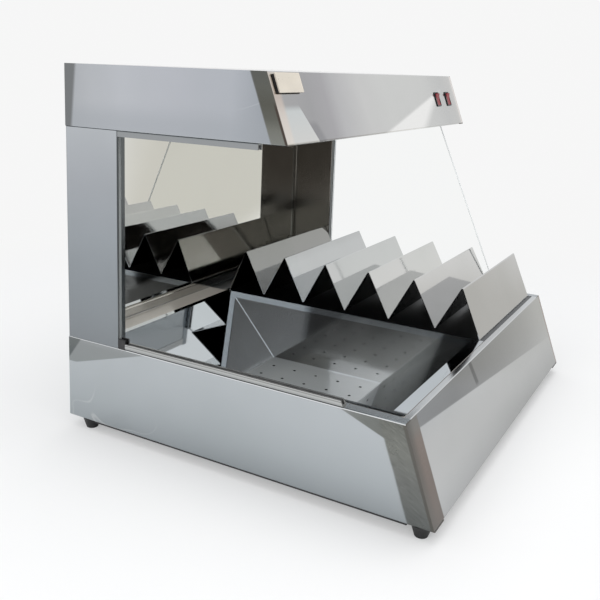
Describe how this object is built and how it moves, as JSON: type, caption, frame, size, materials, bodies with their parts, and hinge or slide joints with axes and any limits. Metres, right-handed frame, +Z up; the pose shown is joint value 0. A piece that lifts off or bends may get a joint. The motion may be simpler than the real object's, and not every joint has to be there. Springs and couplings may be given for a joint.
{
  "type": "chip warmer",
  "caption": "Countertop chip warmer with a drop-in pierced hopper, a zigzag packet rack, a mirror back, glass sides and a canopy heater.",
  "frame": {"origin": "on the counter under the feet, at the middle of the bounding box", "axes": "+X to the packet rack's end, -Y to the sloped front, +Z up"},
  "size_m": [0.8, 0.714, 0.65],
  "materials": {
    "casing_steel": "satin stainless sheet",
    "weld_polished": "stainless with polished weld corners",
    "pan_steel": "bright stainless sheet",
    "mirror_steel": "polished plate",
    "pane_glass": "clear toughened glass",
    "quartz_glass": "clear quartz",
    "bright_reflector": "bright rolled",
    "wire_chrome": "plated wire",
    "black_rubber": "matte",
    "black_plastic": "moulded, semi-gloss",
    "red_plastic": "moulded, dark red",
    "plate_cream": "cream anodised",
    "ceramic_white": null,
    "element_sheath": "oxidised sheath",
    "terminal_tin": "tinned brass",
    "plain_plastic": "moulded",
    "screw_steel": "stainless fastener"
  },
  "bodies": {
    "casing": {"base_edge_seals": "black_rubber", "base_front_panel": "casing_steel", "base_left_side": "casing_steel", "base_rear_panel": "casing_steel", "base_right_side": "casing_steel", "bottom_cover": "casing_steel", "bottom_cover_screws": "screw_steel", "bottom_element": "element_sheath", "bottom_glass_channels": "casing_steel", "cable_gland": "black_plastic", "canopy_left_end": "casing_steel", "canopy_rear_cover": "casing_steel", "canopy_right_end": "casing_steel", "canopy_shell": "casing_steel", "canopy_underside": "casing_steel", "conduit_grommets": "black_rubber", "crumb_tray": "pan_steel", "crumb_tray_rim": "pan_steel", "deck_plate": "casing_steel", "deck_rail": "casing_steel", "element_ceramics": "ceramic_white", "element_clips": "casing_steel", "element_end_bracket": "casing_steel", "foot_front_left": "black_rubber", "foot_front_right": "black_rubber", "foot_nuts": "screw_steel", "foot_rear_left": "black_rubber", "foot_rear_right": "black_rubber", "foot_screws": "screw_steel", "gland_nut": "black_plastic", "glass_corner_blocks": "black_rubber", "glass_gaskets": "black_rubber", "heater_guard": "wire_chrome", "heater_guard_rails": "wire_chrome", "heater_reflector": "bright_reflector", "left_column": "casing_steel", "left_glass": "pane_glass", "mirror_bottom_channel": "casing_steel", "mirror_panel": "mirror_steel", "mirror_side_channels": "casing_steel", "nameplate": "plate_cream", "nameplate_pad": "black_rubber", "quartz_tubes": "quartz_glass", "rear_cover_screws": "screw_steel", "rear_panel": "casing_steel", "right_column": "casing_steel", "right_glass": "pane_glass", "switch_base_heat": "black_plastic", "switch_terminals": "terminal_tin", "switch_top_heat": "black_plastic", "terminal_block": "plain_plastic", "top_glass_channels": "casing_steel", "tube_holders": "ceramic_white", "wiring_conduit": "black_plastic"},
    "hopper": {"hopper_pan": "pan_steel"},
    "rack": {"packet_rack": "pan_steel"},
    "base_heat_paddle": {"paddle_base_heat": "red_plastic"},
    "top_heat_paddle": {"paddle_top_heat": "red_plastic"}
  },
  "joints": [
    {"name": "hopper_lift", "type": "slide", "parent": "casing", "child": "hopper", "axis": [0, 0, 1], "range_m": [0, 0.2]},
    {"name": "rack_lift", "type": "slide", "parent": "casing", "child": "rack", "axis": [0, 0, 1], "range_m": [0, 0.12]},
    {"name": "base_heat_rocker", "type": "hinge", "parent": "casing", "child": "base_heat_paddle", "pos_m": [0.276, -0.07394, 0.59943], "axis": [1, 0, 0], "range_deg": [-16, 0]},
    {"name": "top_heat_rocker", "type": "hinge", "parent": "casing", "child": "top_heat_paddle", "pos_m": [0.342, -0.07394, 0.59943], "axis": [1, 0, 0], "range_deg": [-16, 0]}
  ]
}
